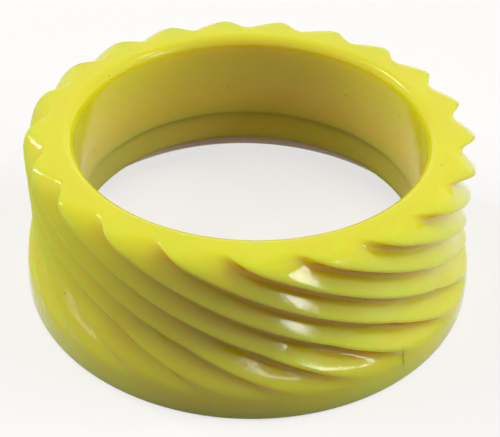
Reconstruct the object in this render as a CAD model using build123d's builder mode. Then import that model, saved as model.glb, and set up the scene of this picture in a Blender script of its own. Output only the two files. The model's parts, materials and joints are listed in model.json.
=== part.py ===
from build123d import *
from math import cos, radians, sin, sqrt
import os

# A moulded collar that slides over a round fence post, with slanted saw-tooth
# flutes outside, a drip lip at its foot, and a ring let into the foot of its bore.
# Millimetres, +Z up. The origin is on the bore's axis, in the plane of the foot.

# ---- heights, from the foot up ---------------------------------------------------
collar_height = 30.2            # foot to top face
lip_height = 12.7               # where the lip starts to flare out of the fluted wall
lip_widest_height = 1.2         # where the lip is upright, at its widest
skirt_depth = 6.6               # hollow under the collar, inside the lip
ring_height = 6.3               # bore ring, from the roof of the skirt up

# ---- bore, walls and lip ---------------------------------------------------------
bore_radius = 30.6              # slides over a 60.3 mm post
top_wall = 8.4                  # bore to flute crests at the top face
waist_wall = 8.2                # bore to flute crests where the lip starts
lip_swell = 2.0                 # how far the lip stands out from the waist
foot_land = 1.4                 # width of the flat that the collar stands on
ring_setback = 0.8              # how much wider the bore ring is than the bore
ring_wall = 2.6                 # bore ring, bore to outside

# ---- edges -----------------------------------------------------------------------
bore_lead_in = 2.1              # rounding where the bore meets the top face
rim_rounding = 1.8              # rounding of the crests at the top face
foot_rounding = 0.8             # rounding under the lip
ring_chamfer = 0.4              # lead-in on the bore ring's upper outer edge
ring_clearance = 0.1            # radial gap between the bore ring and its recess

# ---- flutes ----------------------------------------------------------------------
flute_count = 21
flute_depth = 2.5               # crest to valley
flute_lead = 112.0              # height in which one flute would go once round
first_crest_angle = -4.6        # one crest at the top face, in degrees round from +X
flute_runout_height = 4.6       # where the flutes fade out on the lip
flute_fade_height = 13.0        # where they start to fade
crest_land_angle = 1.0          # flat left on each crest, in degrees
gentle_share = 0.62             # share of the pitch taken by the gentle flank
crest_clearance = 0.2           # how far a cutter's corners clear the round wall
cutter_margin = 1.5             # how far a cutter stands out of the wall and the top
lip_sections = 3                # steps that shape a cutter over the lip
wall_sections = 6               # steps that shape a cutter over the upright wall

os.makedirs("parts", exist_ok=True)

crest_radius_top = bore_radius + top_wall
crest_radius_waist = bore_radius + waist_wall
lip_radius = crest_radius_waist + lip_swell
skirt_mouth_radius = lip_radius - foot_rounding - foot_land
ring_bore_radius = bore_radius + ring_setback
ring_outer_radius = ring_bore_radius + ring_wall
ring_top_height = skirt_depth + ring_height
recess_radius = ring_outer_radius + ring_clearance
flute_pitch = 360 / flute_count


def polar_point(radius, angle):
    """A point in the section plane, from its radius and its angle in degrees."""
    return (radius * cos(radians(angle)), radius * sin(radians(angle)))


def wall_radius(height):
    """Radius of the unfluted wall, which leans in from the top, then swells into the lip."""
    if height >= lip_height:
        lean = (crest_radius_top - crest_radius_waist) / (collar_height - lip_height)
        return crest_radius_waist + lean * (height - lip_height)
    rise = lip_height - lip_widest_height
    swell = lip_radius - crest_radius_waist
    lip_arc_radius = (rise**2 + swell**2) / (2 * swell)
    return lip_radius - lip_arc_radius + sqrt(lip_arc_radius**2 - (height - lip_widest_height) ** 2)


def cutter_depth(height):
    """Depth of a cutter below its outer corners: full higher up, running out on the lip."""
    share = (height - flute_runout_height) / (flute_fade_height - flute_runout_height)
    return (flute_depth + crest_clearance) * min(1, share)


def flute_outline(height):
    """Corners of one flute's section: gentle flank, valley, steep flank, then outside."""
    crest = first_crest_angle + 360 * (collar_height - height) / flute_lead
    flank_start = crest + crest_land_angle / 2
    flank_end = crest + flute_pitch - crest_land_angle / 2
    valley = flank_start + gentle_share * (flank_end - flank_start)
    corner_radius = wall_radius(height) + crest_clearance
    valley_radius = corner_radius - cutter_depth(height)
    outside = lip_radius + cutter_margin
    return [
        polar_point(corner_radius, flank_start),
        polar_point(valley_radius, valley),
        polar_point(corner_radius, flank_end),
        polar_point(outside, flank_end),
        polar_point(outside, flank_start),
    ]


def evenly(start, end, steps):
    """Heights from start up to, but not including, end."""
    return [start + i * (end - start) / steps for i in range(steps)]


# ---- flute cutter ----------------------------------------------------------------
cutter_top = collar_height + cutter_margin
section_heights = [
    *evenly(flute_runout_height, lip_height, lip_sections),
    *evenly(lip_height, cutter_top, wall_sections),
    cutter_top,
]

with BuildPart() as flute_cutter:
    for section_height in section_heights:
        with BuildSketch(Plane.XY.offset(section_height)):
            with BuildLine():
                Polyline(flute_outline(section_height), close=True)
            make_face()
    loft()

# ---- fluted collar ---------------------------------------------------------------
with BuildPart() as fluted_collar:
    with BuildSketch(Plane.XZ) as wall_section:
        with BuildLine():
            lip = TangentArc(
                (lip_radius, lip_widest_height), (crest_radius_waist, lip_height), tangent=(0, 1)
            )
            Polyline(
                lip @ 1,
                (crest_radius_top, collar_height),
                (bore_radius, collar_height),
                (bore_radius, ring_top_height),
                (recess_radius, ring_top_height),
                (recess_radius, skirt_depth),
                (skirt_mouth_radius, 0),
                (lip_radius, 0),
                lip @ 0,
            )
        make_face()
        fillet(wall_section.vertices().group_by(Axis.Y)[-1].sort_by(Axis.X)[0], bore_lead_in)
        fillet(wall_section.vertices().group_by(Axis.Y)[-1].sort_by(Axis.X)[-1], rim_rounding)
        fillet(wall_section.vertices().group_by(Axis.Y)[0].sort_by(Axis.X)[-1], foot_rounding)
    revolve(axis=Axis.Z)
    with PolarLocations(0, flute_count):
        add(flute_cutter.part, mode=Mode.SUBTRACT)

fluted_collar.part.label = "fluted_collar"
export_step(fluted_collar.part, "parts/fluted_collar.step")

# ---- bore ring -------------------------------------------------------------------
with BuildPart() as bore_ring:
    with BuildSketch(Plane.XY.offset(skirt_depth)):
        Circle(ring_outer_radius)
        Circle(ring_bore_radius, mode=Mode.SUBTRACT)
    extrude(amount=ring_height)
    upper_edges = bore_ring.edges().filter_by(GeomType.CIRCLE).group_by(Axis.Z)[-1]
    chamfer(upper_edges.sort_by(SortBy.RADIUS)[-1], ring_chamfer)

bore_ring.part.label = "bore_ring"
export_step(bore_ring.part, "parts/bore_ring.step")
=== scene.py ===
import json
from math import cos, pi, radians, sin, sqrt

import bpy
from mathutils import Matrix, Vector


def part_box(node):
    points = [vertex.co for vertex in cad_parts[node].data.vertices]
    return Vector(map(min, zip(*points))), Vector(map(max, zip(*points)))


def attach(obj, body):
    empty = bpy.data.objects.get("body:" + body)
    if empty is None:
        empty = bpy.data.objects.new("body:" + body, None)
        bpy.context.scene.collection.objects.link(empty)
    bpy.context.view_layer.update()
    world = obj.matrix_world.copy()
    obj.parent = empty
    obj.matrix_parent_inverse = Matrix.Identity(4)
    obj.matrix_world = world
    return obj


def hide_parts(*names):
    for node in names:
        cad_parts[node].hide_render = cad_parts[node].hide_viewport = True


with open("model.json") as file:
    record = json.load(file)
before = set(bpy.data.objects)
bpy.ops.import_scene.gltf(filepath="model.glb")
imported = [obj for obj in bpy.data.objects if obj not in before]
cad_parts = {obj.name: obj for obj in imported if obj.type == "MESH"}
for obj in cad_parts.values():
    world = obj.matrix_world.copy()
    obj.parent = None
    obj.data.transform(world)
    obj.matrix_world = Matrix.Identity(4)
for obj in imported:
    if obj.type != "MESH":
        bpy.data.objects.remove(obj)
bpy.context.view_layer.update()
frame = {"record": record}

# A clear yellow moulded post collar: one fluted body with a drip lip, and a ring let
# into the foot of its bore. Metres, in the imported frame: the foot stands on z = 0.

MM = 0.001

# ---- sizes read from the frame -----------------------------------------------------
collar_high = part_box("fluted_collar")[1]
ring_low, ring_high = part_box("bore_ring")
collar_height = collar_high[2]
lip_radius = collar_high[0]
ring_outer_radius = ring_high[0]
ring_bottom = ring_low[2]
ring_top = ring_high[2]
mounts = {mount["name"]: mount for mount in frame["record"]["mounts"]}
bore_radius = mounts["post_bore"]["dims"]["r_mm"] * MM

# ---- sizes of the design that the frame doesn't name --------------------------------
lip_height = 12.7 * MM              # where the lip starts to flare
lip_widest_height = 1.2 * MM        # where the lip is upright
crest_radius_top = 39.0 * MM
crest_radius_waist = 38.8 * MM
skirt_mouth_radius = 38.6 * MM
ring_bore_radius = 31.4 * MM
ring_clearance = 0.1 * MM
bore_lead_in = 2.1 * MM
rim_rounding = 1.8 * MM
foot_rounding = 0.8 * MM
edge_rounding = 0.2 * MM            # small inner edges
shoulder_rounding = 0.6 * MM        # where the bore steps out to its ring

# ---- flutes -------------------------------------------------------------------------
flute_count = 21
flute_pitch = 2 * pi / flute_count
flute_depth = 2.5 * MM
flute_lead = 112.0 * MM             # height for one whole turn
first_crest_angle = radians(-4.6)
flute_runout_height = 4.6 * MM
flute_fade_height = 10.0 * MM
gentle_share = 0.62                 # share of the pitch taken by the gentle flank
gentle_curve = 1.1                  # 1 is a flat flank, more is a swollen one
steep_curve = 1.15
crest_blend = 0.09                  # half width of the rounded crest, in pitches
valley_blend = 0.16                 # half width of the rounded valley, in pitches
slope_step = 0.001                  # step over which a flank's slope is taken, in pitches

# ---- mould line on the lip ----------------------------------------------------------
mark_angle = radians(-50)
mark_low = 3.0 * MM
mark_high = 8.0 * MM
mark_half_width = 0.16 * MM
mark_rise = 0.09 * MM
mark_root = 0.12 * MM               # how far its edges are sunk into the lip

# ---- plastic: tint, painted shade, and scales in waves or cells per metre ------------
painted_shade_fade = 20.0 * MM              # how far below the top face the painted shade can be at its deepest
painted_shade_depth = 4.0 * MM              # how far inside the crests the painted shade is at its deepest
cloud_scale = 60
cloud_detail = 3
cloud_edges = (0.3, 0.7)            # noise levels where the plastic is cloudiest and clearest
speck_scale = 230
speck_edges = (0.02, 0.035)         # where a speck starts and ends its fade, in cells
speck_colour = (0.16, 0.11, 0.02)

# ---- plastic: surface ----------------------------------------------------------------
smear_scale = 140
smear_detail = 4
smear_roughness = 0.6
smear_depth = 0.10                  # how much duller the smears are
bore_dullness = 0.35                # how much duller the bore is
dull_from = 0.5                     # share of the painted shade where the dullness starts
flow_scale = 130
flow_strength = 0.3
flow_height = 0.3 * MM
peel_scale = 2000
peel_strength = 0.6
peel_height = 0.035 * MM
plastic_ior = 1.5
plastic_specular = 0.4
scatter_weight = 1.0
scatter_by_colour = (1.0, 0.4, 0.08)  # red light travels furthest inside
scatter_reach = 7 * MM

# ---- studio -------------------------------------------------------------------------
WHITE = (1, 1, 1)
BLACK = (0, 0, 0)
WARM_WHITE = (1.0, 0.64, 0.48)
floor_half_width = 2.0
floor_drop = 0.02 * MM              # how far the floor lies under the foot
floor_white = (0.97, 0.97, 0.97)
floor_bounce = (0.15, 0.13, 0.11)
floor_glow = 0.70                   # how much of the floor's white is its own
floor_roughness = 0.9
floor_specular = 0.1
tent_focus = 26                     # how tightly each side of the tent holds its light
key_distance = 0.55

# ---- camera -------------------------------------------------------------------------
camera_distance = 188.5 * MM        # from the middle of the top face
camera_elevation = radians(32.94)   # of the camera, seen from there
camera_look_down = radians(37.93)
camera_yaw = radians(0.08)
camera_roll = radians(1.52)
camera_lens = 78.2                  # in millimetres, for the sensor below
camera_sensor = 36.0
camera_nearest = 0.01

# ---- mesh density -------------------------------------------------------------------
crest_columns = 4                   # on each side of a crest
flank_columns = 6
valley_columns = 6
steep_columns = 5
lip_rows = 20
wall_rows = 56
rounding_rows = 8
top_rows = 10
lead_in_rows = 16
bore_rows = 26
flat_rows = 5
skirt_rows = 13
bevel_rows = 2
ring_bore_rows = 13
mark_rows = 24


# =====================================================================================
# Shapes
# =====================================================================================
def spaced(start, end, steps):
    """Values from start up to, but not including, end."""
    return [start + (end - start) * i / steps for i in range(steps)]


def smooth_step(x):
    """0 below 0, 1 above 1, and an S curve between."""
    x = min(1, max(0, x))
    return x * x * (3 - 2 * x)


def wall_radius(height):
    """Radius of the crests: nearly upright above, swelling into the lip below."""
    if height >= lip_height:
        lean = (crest_radius_top - crest_radius_waist) / (collar_height - lip_height)
        return crest_radius_waist + lean * (height - lip_height)
    rise = lip_height - lip_widest_height
    swell = lip_radius - crest_radius_waist
    arc = (rise**2 + swell**2) / (2 * swell)
    return lip_radius - arc + sqrt(arc**2 - (height - lip_widest_height) ** 2)


def flank(phase):
    """Depth of a sharp-cornered flute: both flanks curve down from the crest to the valley."""
    phase %= 1
    if phase < gentle_share:
        return (phase / gentle_share) ** gentle_curve
    return ((1 - phase) / (1 - gentle_share)) ** steep_curve


def bridge(phase, middle, half_width):
    """Cubic that rounds a corner off, from the flank before it to the flank after it."""
    start, end = middle - half_width, middle + half_width
    t = (phase - start) / (end - start)
    slope_in = (flank(start) - flank(start - slope_step)) / slope_step * (end - start)
    slope_out = (flank(end + slope_step) - flank(end)) / slope_step * (end - start)
    ends = flank(start) * (1 + 2 * t) * (1 - t) ** 2 + flank(end) * (3 - 2 * t) * t**2
    return ends + slope_in * t * (1 - t) ** 2 - slope_out * (1 - t) * t**2


def saw_tooth(phase):
    """Depth of a flute at a phase of its pitch: near 0 on the crest, near 1 in the valley."""
    if phase > 1 - crest_blend:
        phase -= 1
    if phase < crest_blend:
        return bridge(phase, 0, crest_blend)
    if abs(phase - gentle_share) < valley_blend:
        return bridge(phase, gentle_share, valley_blend)
    return flank(phase)


shallowest = saw_tooth(0)
deepest = saw_tooth(gentle_share)


def fluted_radius(phase, height):
    """Radius of the outer wall at a phase of the flute pitch and a height."""
    reach = (height - flute_runout_height) / (flute_fade_height - flute_runout_height)
    depth = (saw_tooth(phase) - shallowest) / (deepest - shallowest)
    return wall_radius(height) - flute_depth * smooth_step(reach) * depth


def painted_shade_share(radius, height):
    """Share of the painted shade, a browner tint standing in for shade, at a point: none on top or
    on a crest, all of it down the bore.
    """
    below_top = smooth_step((collar_height - height) / painted_shade_fade)
    return below_top * min(1, max(0, (wall_radius(height) - radius) / painted_shade_depth))


def flute_phases():
    """Phases of one pitch where the mesh has a column, closest round crest and valley."""
    return [
        *spaced(0, crest_blend, crest_columns),
        *spaced(crest_blend, gentle_share - valley_blend, flank_columns),
        *spaced(gentle_share - valley_blend, gentle_share + valley_blend, valley_columns),
        *spaced(gentle_share + valley_blend, 1 - crest_blend, steep_columns),
        *spaced(1 - crest_blend, 1, crest_columns),
    ]


def rounding(centre, radius, start, end, rows=rounding_rows):
    """Points on an arc from one angle to another, in the plane of radius and height."""
    return [
        (centre[0] + radius * cos(angle), centre[1] + radius * sin(angle))
        for angle in spaced(radians(start), radians(end), rows)
    ]


def straight(start, end, rows):
    """Points on a line, from start up to, but not including, end."""
    return list(zip(spaced(start[0], end[0], rows), spaced(start[1], end[1], rows)))


def collar_section(phase):
    """The collar's closed section at one phase of the flute pitch, from the foot round."""
    recess_radius = ring_outer_radius + ring_clearance
    rim_start = collar_height - rim_rounding
    rim = fluted_radius(phase, collar_height)
    wall_heights = [
        *spaced(foot_rounding, lip_height, lip_rows),
        *spaced(lip_height, rim_start, wall_rows),
    ]
    outside = [(fluted_radius(phase, height), height) for height in wall_heights]
    rim_edge = rounding((rim - rim_rounding, rim_start), rim_rounding, 0, 90)
    mouth = bore_radius + bore_lead_in
    top = straight((rim - rim_rounding, collar_height), (mouth, collar_height), top_rows)
    bore_top = collar_height - bore_lead_in
    lead_in = rounding((mouth, bore_top), bore_lead_in, 90, 180, lead_in_rows)
    shoulder = (bore_radius + shoulder_rounding, ring_top + shoulder_rounding)
    bore = straight((bore_radius, bore_top), (bore_radius, shoulder[1]), bore_rows)
    bore_edge = rounding(shoulder, shoulder_rounding, 180, 270)
    step = straight((shoulder[0], ring_top), (recess_radius, ring_top), flat_rows)
    recess = straight((recess_radius, ring_top), (recess_radius, ring_bottom), flat_rows)
    skirt_mouth = (skirt_mouth_radius, edge_rounding)
    skirt = straight((recess_radius, ring_bottom), skirt_mouth, skirt_rows)
    foot_inside = (skirt_mouth_radius + edge_rounding, 0)
    mouth_edge = straight(skirt_mouth, foot_inside, bevel_rows)
    foot_outside = (wall_radius(foot_rounding) - foot_rounding, 0)
    foot = straight(foot_inside, foot_outside, flat_rows)
    foot_edge = rounding((foot_outside[0], foot_rounding), foot_rounding, 270, 360)
    return [
        *outside, *rim_edge, *top, *lead_in, *bore, *bore_edge, *step, *recess, *skirt,
        *mouth_edge, *foot, *foot_edge,
    ]


def ring_section(_phase):
    """The bore ring's closed section, with its edges rounded: the same at every phase."""
    inner, outer = ring_bore_radius, ring_outer_radius
    r = edge_rounding
    return [
        *rounding((outer - r, ring_bottom + r), r, 270, 360),
        *straight((outer, ring_bottom + r), (outer, ring_top - r), flat_rows),
        *rounding((outer - r, ring_top - r), r, 0, 90),
        *straight((outer - r, ring_top), (inner + r, ring_top), flat_rows),
        *rounding((inner + r, ring_top - r), r, 90, 180),
        *straight((inner, ring_top - r), (inner, ring_bottom + r), ring_bore_rows),
        *rounding((inner + r, ring_bottom + r), r, 180, 270),
        *straight((inner + r, ring_bottom), (outer - r, ring_bottom), flat_rows),
    ]


def new_piece(name, points, faces):
    """A smooth-shaded mesh object."""
    mesh = bpy.data.meshes.new(name)
    mesh.from_pydata(points, [], faces)
    mesh.shade_smooth()
    piece = bpy.data.objects.new(name, mesh)
    bpy.context.collection.objects.link(piece)
    return piece


def lofted_ring(name, columns, closed_section):
    """A closed ring mesh. columns gives each column's angle at the top and its phase."""
    rows = len(closed_section(columns[0][1]))
    points = []
    painted_shade_shares = []
    for angle, phase in columns:
        for radius, height in closed_section(phase):
            turned = angle + 2 * pi * (collar_height - height) / flute_lead
            points.append((radius * cos(turned), radius * sin(turned), height))
            # painted shade: each point stores how much of the browner tint stands in for shade
            # there
            painted_shade_shares.append(painted_shade_share(radius, height))
    faces = []
    count = len(columns)
    for column in range(count):
        here = column * rows
        there = (column + 1) % count * rows
        for row in range(rows):
            above = (row + 1) % rows
            faces.append((here + row, there + row, there + above, here + above))
    piece = new_piece(name, points, faces)
    piece.data.attributes.new("painted_shade_amber", "FLOAT", "POINT").data.foreach_set("value", painted_shade_shares)
    return piece


def collar_columns():
    """Angle at the top face and flute phase of each column, flute after flute."""
    return [
        (first_crest_angle + flute_pitch * (flute + phase), phase)
        for flute in range(flute_count)
        for phase in flute_phases()
    ]


def parting_mark():
    """A fine mould line that stands proud of the lip, tapered at both ends."""
    points = []
    for row in range(mark_rows + 1):
        height = mark_low + (mark_high - mark_low) * row / mark_rows
        angle_at_top = mark_angle - 2 * pi * (collar_height - height) / flute_lead
        phase = (angle_at_top - first_crest_angle) / flute_pitch % 1
        surface = fluted_radius(phase, height)
        root = surface - mark_root
        ridge = surface + mark_rise * sin(pi * row / mark_rows)
        for side, radius in ((-1, root), (0, ridge), (1, root)):
            angle = mark_angle + side * mark_half_width / surface
            points.append((radius * cos(angle), radius * sin(angle), height))
    faces = [(0, 2, 1), tuple(3 * mark_rows + corner for corner in range(3))]
    for row in range(mark_rows):
        for corner in range(3):
            beside = (corner + 1) % 3
            low, high = 3 * row, 3 * row + 3
            faces.append((low + corner, low + beside, high + beside, high + corner))
    return new_piece("parting_mark", points, faces)


# =====================================================================================
# Materials
# =====================================================================================
def new_material(name):
    """An empty node material, with its tree and its output."""
    material = bpy.data.materials.new(name)
    material.use_nodes = True
    tree = material.node_tree
    tree.nodes.clear()
    return material, tree, tree.nodes.new("ShaderNodeOutputMaterial")


def noise_node(tree, coordinates, scale, detail=2.0, roughness=0.5):
    """A noise texture over the object's own coordinates."""
    node = tree.nodes.new("ShaderNodeTexNoise")
    node.inputs["Scale"].default_value = scale
    node.inputs["Detail"].default_value = detail
    node.inputs["Roughness"].default_value = roughness
    tree.links.new(coordinates, node.inputs["Vector"])
    return node


def fade_node(tree, factor, edges, first, second):
    """A ramp from one colour to another, between two levels of the factor."""
    node = tree.nodes.new("ShaderNodeValToRGB")
    for element, position, colour in zip(node.color_ramp.elements, edges, (first, second)):
        element.position = position
        element.color = (*colour, 1)
    tree.links.new(factor, node.inputs["Fac"])
    return node.outputs["Color"]


def mix_colours(tree, factor, first, second):
    """A colour mix node. first and second are sockets or plain colours."""
    node = tree.nodes.new("ShaderNodeMix")
    node.data_type = "RGBA"
    tree.links.new(factor, node.inputs["Factor"])
    for socket, colour in (("A", first), ("B", second)):
        if isinstance(colour, tuple):
            node.inputs[socket].default_value = (*colour, 1)
        else:
            tree.links.new(colour, node.inputs[socket])
    return node.outputs["Result"]


def bump_node(tree, height, strength, distance, normal=None):
    """A bump from a height socket, over an earlier bump where one is given."""
    node = tree.nodes.new("ShaderNodeBump")
    node.inputs["Strength"].default_value = strength
    node.inputs["Distance"].default_value = distance
    tree.links.new(height, node.inputs["Height"])
    if normal:
        tree.links.new(normal, node.inputs["Normal"])
    return node.outputs["Normal"]


def plastic_tint(tree, place, painted_shade_mask, pale, cloudy, painted_shade_amber):
    """Pale and cloudy patches, painted shade as a browner tint over them, and fine dark specks
    over all.
    """
    clouds = noise_node(tree, place, cloud_scale, cloud_detail)
    tint = fade_node(tree, clouds.outputs["Fac"], cloud_edges, cloudy, pale)
    # painted shade: the browner amber tint mixed in where shade falls, in the flute valleys and
    # down the bore
    tint = mix_colours(tree, painted_shade_mask, tint, painted_shade_amber)
    specks = tree.nodes.new("ShaderNodeTexVoronoi")
    specks.inputs["Scale"].default_value = speck_scale
    tree.links.new(place, specks.inputs["Vector"])
    speck_mask = fade_node(tree, specks.outputs["Distance"], speck_edges, WHITE, BLACK)
    return mix_colours(tree, speck_mask, tint, speck_colour)


def plastic_roughness(tree, place, painted_shade_mask, least_roughness):
    """Least roughness, with duller smears everywhere and more dullness down the bore."""
    smears = noise_node(tree, place, smear_scale, smear_detail, smear_roughness)
    polish = tree.nodes.new("ShaderNodeMapRange")
    polish.inputs["To Min"].default_value = least_roughness
    polish.inputs["To Max"].default_value = least_roughness + smear_depth
    tree.links.new(smears.outputs["Fac"], polish.inputs["Value"])
    dulling = tree.nodes.new("ShaderNodeMapRange")
    dulling.inputs["From Min"].default_value = dull_from
    dulling.inputs["To Max"].default_value = bore_dullness
    tree.links.new(painted_shade_mask, dulling.inputs["Value"])
    total = tree.nodes.new("ShaderNodeMath")
    tree.links.new(dulling.outputs["Result"], total.inputs[0])
    tree.links.new(polish.outputs["Result"], total.inputs[1])
    return total.outputs["Value"]


def plastic_relief(tree, place):
    """Slow flow waves, with a fine orange peel over them."""
    flow = noise_node(tree, place, flow_scale)
    peel = noise_node(tree, place, peel_scale)
    waves = bump_node(tree, flow.outputs["Fac"], flow_strength, flow_height)
    return bump_node(tree, peel.outputs["Fac"], peel_strength, peel_height, waves)


def urethane(name, pale, cloudy, painted_shade_amber, least_roughness):
    """Glossy, slightly see-through cast plastic: cloudy, with fine specks, and painted shade as an
    amber tint in its valleys and bore.
    """
    material, tree, output = new_material(name)
    shader = tree.nodes.new("ShaderNodeBsdfPrincipled")
    place = tree.nodes.new("ShaderNodeTexCoord").outputs["Object"]
    # painted shade: the stored share picks where the browner tint is painted
    attribute = tree.nodes.new("ShaderNodeAttribute")
    attribute.attribute_name = "painted_shade_amber"
    painted_shade_mask = attribute.outputs["Fac"]

    tint = plastic_tint(tree, place, painted_shade_mask, pale, cloudy, painted_shade_amber)
    roughness = plastic_roughness(tree, place, painted_shade_mask, least_roughness)
    tree.links.new(tint, shader.inputs["Base Color"])
    tree.links.new(roughness, shader.inputs["Roughness"])
    tree.links.new(plastic_relief(tree, place), shader.inputs["Normal"])
    shader.inputs["IOR"].default_value = plastic_ior
    shader.inputs["Specular IOR Level"].default_value = plastic_specular
    shader.inputs["Subsurface Weight"].default_value = scatter_weight
    shader.inputs["Subsurface Radius"].default_value = scatter_by_colour
    shader.inputs["Subsurface Scale"].default_value = scatter_reach
    tree.links.new(shader.outputs["BSDF"], output.inputs["Surface"])
    return material


# =====================================================================================
# Stage, lights and camera
# =====================================================================================
def seen_directly(tree):
    """1 for rays from the camera, and for those that reflections and glass send on."""
    path = tree.nodes.new("ShaderNodeLightPath")
    total = path.outputs["Is Camera Ray"]
    for kind in ("Is Glossy Ray", "Is Transmission Ray"):
        either = tree.nodes.new("ShaderNodeMath")
        either.operation = "MAXIMUM"
        tree.links.new(total, either.inputs[0])
        tree.links.new(path.outputs[kind], either.inputs[1])
        total = either.outputs["Value"]
    return total


def floor_material():
    """Plain matt white paper that keeps its shadow and throws little light back up."""
    material, tree, output = new_material("floor_paper")
    shader = tree.nodes.new("ShaderNodeBsdfPrincipled")
    seen = seen_directly(tree)
    paper = mix_colours(tree, seen, floor_bounce, floor_white)
    tree.links.new(paper, shader.inputs["Base Color"])
    shader.inputs["Roughness"].default_value = floor_roughness
    shader.inputs["Specular IOR Level"].default_value = floor_specular
    glow = tree.nodes.new("ShaderNodeEmission")
    share = tree.nodes.new("ShaderNodeMath")
    share.operation = "MULTIPLY"
    share.inputs[1].default_value = floor_glow
    tree.links.new(seen, share.inputs[0])
    mix = tree.nodes.new("ShaderNodeMixShader")
    tree.links.new(share.outputs["Value"], mix.inputs["Fac"])
    tree.links.new(shader.outputs["BSDF"], mix.inputs[1])
    tree.links.new(glow.outputs["Emission"], mix.inputs[2])
    tree.links.new(mix.outputs["Shader"], output.inputs["Surface"])
    return material


def add_floor():
    """A wide floor just under the foot of the collar."""
    half = floor_half_width
    mesh = bpy.data.meshes.new("floor")
    corners = ((-half, -half), (half, -half), (half, half), (-half, half))
    mesh.from_pydata([(x, y, -floor_drop) for x, y in corners], [], [(0, 1, 2, 3)])
    mesh.materials.append(floor_material())
    floor = bpy.data.objects.new("floor", mesh)
    bpy.context.collection.objects.link(floor)


def direction(azimuth, elevation):
    """Unit vector towards an azimuth, counter-clockwise from +X, and an elevation, in degrees."""
    turn, tilt = radians(azimuth), radians(elevation)
    return Vector((cos(turn) * cos(tilt), sin(turn) * cos(tilt), sin(tilt)))


def tent_panel(tree, ray, azimuth, elevation, strength, colour):
    """Light that is strongest from one direction of the tent and fades away round it."""
    facing = tree.nodes.new("ShaderNodeVectorMath")
    facing.operation = "DOT_PRODUCT"
    facing.inputs[1].default_value = direction(azimuth, elevation)
    tree.links.new(ray, facing.inputs[0])
    level = facing.outputs["Value"]
    for operation, value in (("MAXIMUM", 0), ("POWER", tent_focus), ("MULTIPLY", strength)):
        step = tree.nodes.new("ShaderNodeMath")
        step.operation = operation
        step.inputs[1].default_value = value
        tree.links.new(level, step.inputs[0])
        level = step.outputs["Value"]
    panel = tree.nodes.new("ShaderNodeBackground")
    panel.inputs["Color"].default_value = (*colour, 1)
    tree.links.new(level, panel.inputs["Strength"])
    return panel.outputs["Background"]


def add_tent(panels):
    """White to the camera and in reflections; on everything else, the light of a soft tent."""
    world = bpy.data.worlds.new("studio")
    bpy.context.scene.world = world
    world.use_nodes = True
    tree = world.node_tree
    tree.nodes.clear()
    output = tree.nodes.new("ShaderNodeOutputWorld")
    ray = tree.nodes.new("ShaderNodeTexCoord").outputs["Generated"]
    total = None
    for panel in panels:
        light = tent_panel(tree, ray, *panel)
        if total:
            both = tree.nodes.new("ShaderNodeAddShader")
            tree.links.new(total, both.inputs[0])
            tree.links.new(light, both.inputs[1])
            light = both.outputs["Shader"]
        total = light
    white = tree.nodes.new("ShaderNodeBackground")
    white.inputs["Color"].default_value = (*WHITE, 1)
    mix = tree.nodes.new("ShaderNodeMixShader")
    tree.links.new(seen_directly(tree), mix.inputs["Fac"])
    tree.links.new(total, mix.inputs[1])
    tree.links.new(white.outputs["Background"], mix.inputs[2])
    tree.links.new(mix.outputs["Shader"], output.inputs["Surface"])


def add_key(name, azimuth, elevation, width, height, power):
    """A small rectangular lamp that faces the collar and leaves a crisp highlight on it."""
    data = bpy.data.lights.new(name, "AREA")
    data.shape = "RECTANGLE"
    data.size, data.size_y = width, height
    data.energy = power
    lamp = bpy.data.objects.new(name, data)
    bpy.context.collection.objects.link(lamp)
    away = direction(azimuth, elevation)
    lamp.location = Vector((0, 0, collar_height / 2)) + away * key_distance
    lamp.rotation_euler = away.to_track_quat("Z", "Y").to_euler()
    lamp.visible_camera = False


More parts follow.
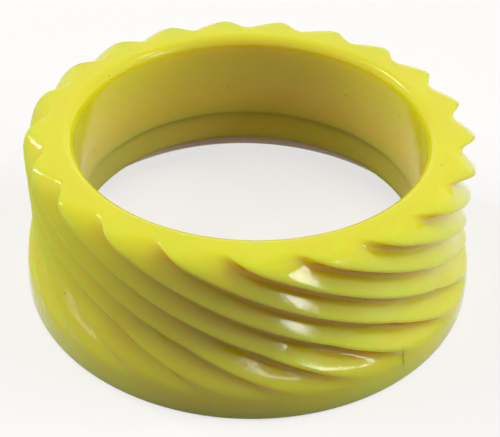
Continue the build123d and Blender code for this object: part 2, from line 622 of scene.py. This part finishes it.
def add_camera():
    """A short telephoto view from in front and above, with a slight roll."""
    data = bpy.data.cameras.new("camera")
    data.lens = camera_lens
    data.sensor_width = camera_sensor
    data.clip_start = camera_nearest
    camera = bpy.data.objects.new("camera", data)
    bpy.context.collection.objects.link(camera)
    level = cos(camera_look_down)
    forward = Vector((sin(camera_yaw) * level, cos(camera_yaw) * level, -sin(camera_look_down)))
    right = forward.cross(Vector((0, 0, 1))).normalized()
    up = right.cross(forward)
    rolled_right = right * cos(camera_roll) + up * sin(camera_roll)
    rolled_up = up * cos(camera_roll) - right * sin(camera_roll)
    turn = Matrix((rolled_right, rolled_up, -forward)).transposed()
    back = camera_distance * cos(camera_elevation)
    rise = camera_distance * sin(camera_elevation)
    place = Vector((0, -back, collar_height + rise))
    camera.matrix_world = Matrix.Translation(place) @ turn.to_4x4()
    bpy.context.scene.camera = camera


# =====================================================================================
# The scene
# =====================================================================================
add_camera()
add_floor()
add_tent([
    # azimuth, elevation, strength, colour
    (12, 10, 4.4, WHITE),
    (8, 42, 4.0, WHITE),
    (170, 10, 3.9, WHITE),
    (172, 42, 4.3, WHITE),
    (90, 80, 1.0, WHITE),
    (270, 64, 2.8, WARM_WHITE),
])
for key in (
    # name, azimuth, elevation, width, height, power
    ("front_key", -21, 30, 0.085, 0.07, 0.34),
    ("lower_front_key", -38, 44, 0.05, 0.03, 0.08),
    ("right_key", 4, 52, 0.04, 0.04, 0.16),
    ("left_key", 149, 42, 0.04, 0.16, 0.45),
    ("lip_left_key", 206, 44, 0.03, 0.03, 0.05),
):
    add_key(*key)

collar_plastic = urethane(
    "collar_plastic",
    pale=(0.79, 0.81, 0.012),
    cloudy=(0.76, 0.77, 0.012),
    # colour of the painted shade in the collar's valleys and bore
    painted_shade_amber=(0.85, 0.68, 0.06),
    least_roughness=0.08,
)
ring_plastic = urethane(
    "ring_plastic",
    pale=(0.80, 0.74, 0.02),
    cloudy=(0.77, 0.70, 0.02),
    # colour of the painted shade on the ring
    painted_shade_amber=(0.85, 0.65, 0.08),
    least_roughness=0.14,
)

collar = lofted_ring("collar_body", collar_columns(), collar_section)
collar.data.materials.append(collar_plastic)
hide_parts("fluted_collar")
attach(collar, "root")

mark = parting_mark()
mark.data.materials.append(collar_plastic)
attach(mark, "root")

ring = lofted_ring("ring_body", collar_columns(), ring_section)
ring.data.materials.append(ring_plastic)
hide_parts("bore_ring")
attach(ring, "root")

bpy.context.scene.view_settings.view_transform = "Standard"
